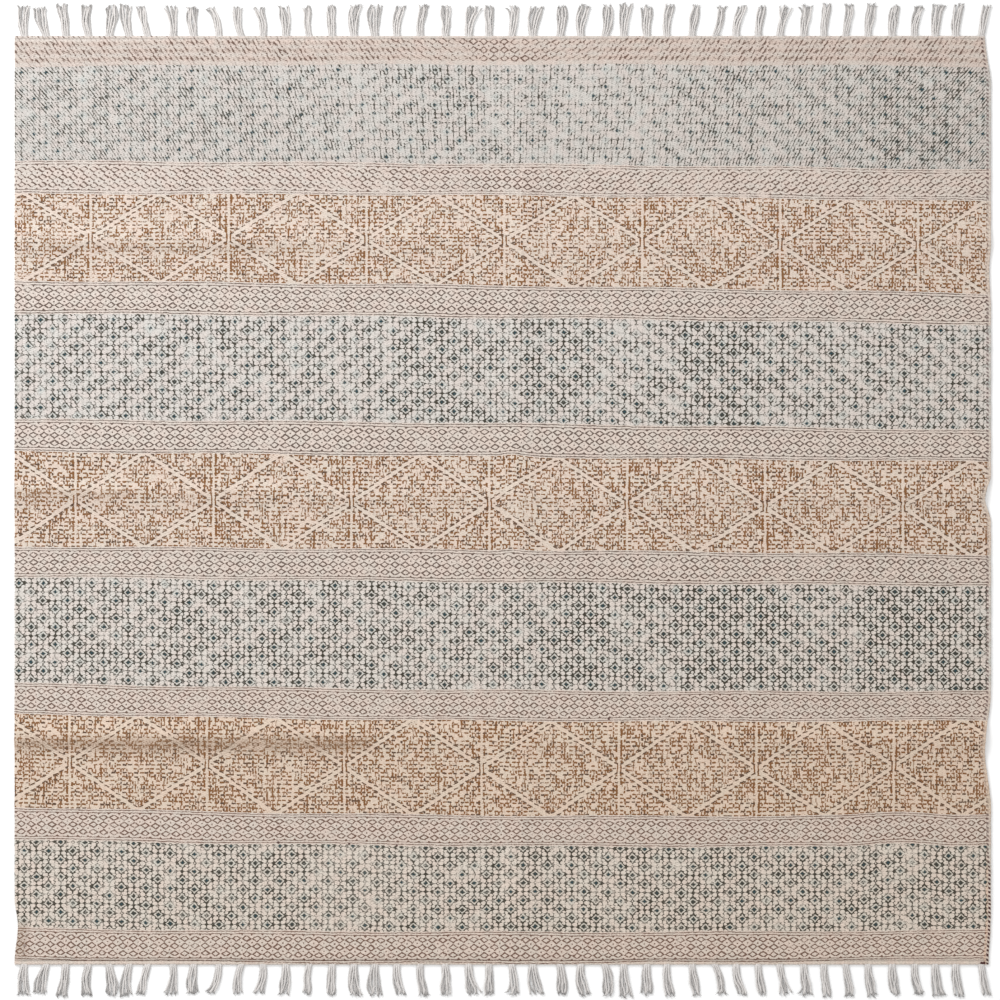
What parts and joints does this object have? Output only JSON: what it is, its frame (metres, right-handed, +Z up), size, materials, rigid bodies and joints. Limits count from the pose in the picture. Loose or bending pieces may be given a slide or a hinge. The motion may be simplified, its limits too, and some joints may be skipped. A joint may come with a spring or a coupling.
{
  "type": "dhurrie rug",
  "caption": "Flat-woven cotton floor rug with printed cross bands of small lattices, nets and fretted rhombi, and loose yarn tassels along both ends.",
  "frame": {"origin": "on the floor under the middle of the rug, at the bottom centre of its bounding box", "axes": "+Z up from the floor; +Y along the warp, from one fringed end to the other; +X across the rug, from selvedge to selvedge"},
  "size_m": [1.8064, 1.8414, 0.0101],
  "materials": {
    "printed_cotton": "flat-woven natural cotton, matt, block printed in grey-blue, taupe and tan-brown lines on cream",
    "fringe_yarn": "loosely twisted unprinted cotton yarn, matt off-white"
  },
  "bodies": {
    "root": {"rug_body": "printed_cotton", "fringe_top": "fringe_yarn", "fringe_bottom": "fringe_yarn"}
  },
  "joints": []
}
